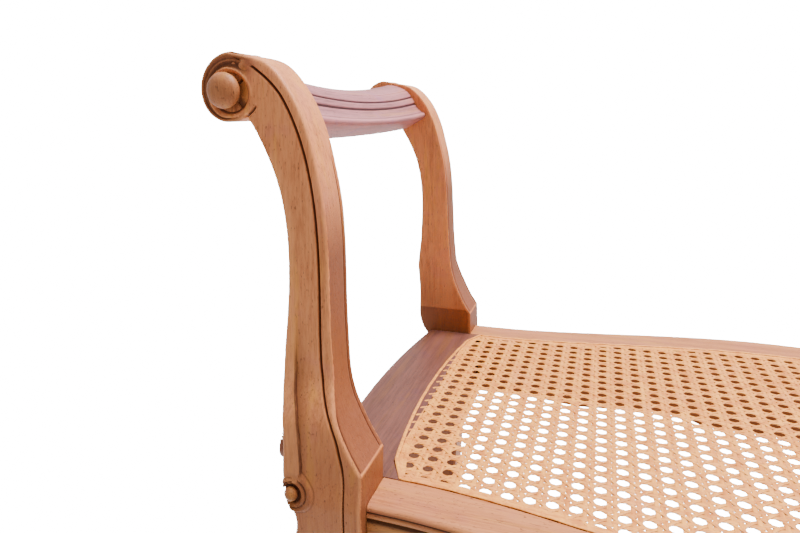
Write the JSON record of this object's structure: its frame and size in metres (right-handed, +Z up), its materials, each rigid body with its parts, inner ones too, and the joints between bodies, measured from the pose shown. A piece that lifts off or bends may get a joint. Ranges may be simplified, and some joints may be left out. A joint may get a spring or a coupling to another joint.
{
  "type": "hall bench",
  "caption": "Caned hall bench with scrolled ends: curved uprights on cabriole legs, fluted crest rails and bowed, moulded seat rails round a woven cane seat.",
  "frame": {"origin": "on the floor under the middle of the bench", "axes": "+X along the bench to its right end, +Y to the back, +Z up"},
  "size_m": [0.904, 0.456, 0.743],
  "materials": {
    "walnut": "waxed, mid honey brown",
    "crest_wood": "waxed, rosy where worn by hands",
    "end_rail_wood": "waxed, purplish brown",
    "peg_wood": "end grain, flush",
    "cane": "natural golden cane, slightly glossy"
  },
  "bodies": {
    "root": {"upright_front_left": "walnut", "scroll_boss_front_left": "walnut", "volute_eye_front_left_face": "walnut", "volute_eye_front_left_end": "walnut", "peg_front_left_rail_upper": "peg_wood", "peg_front_left_end_upper": "peg_wood", "peg_front_left_rail_lower": "peg_wood", "peg_front_left_end_lower": "peg_wood", "upright_front_right": "walnut", "scroll_boss_front_right": "walnut", "volute_eye_front_right_face": "walnut", "volute_eye_front_right_end": "walnut", "peg_front_right_rail_upper": "peg_wood", "peg_front_right_end_upper": "peg_wood", "peg_front_right_rail_lower": "peg_wood", "peg_front_right_end_lower": "peg_wood", "upright_back_left": "walnut", "scroll_boss_back_left": "walnut", "volute_eye_back_left_face": "walnut", "volute_eye_back_left_end": "walnut", "peg_back_left_rail_upper": "peg_wood", "peg_back_left_end_upper": "peg_wood", "peg_back_left_rail_lower": "peg_wood", "peg_back_left_end_lower": "peg_wood", "upright_back_right": "walnut", "scroll_boss_back_right": "walnut", "volute_eye_back_right_face": "walnut", "volute_eye_back_right_end": "walnut", "peg_back_right_rail_upper": "peg_wood", "peg_back_right_end_upper": "peg_wood", "peg_back_right_rail_lower": "peg_wood", "peg_back_right_end_lower": "peg_wood", "seat_rail_front": "walnut", "seat_rail_back": "walnut", "end_rail_left": "end_rail_wood", "crest_rail_left": "crest_wood", "end_rail_right": "end_rail_wood", "crest_rail_right": "crest_wood", "cane_seat": "cane", "cane_binding": "cane"}
  },
  "joints": []
}
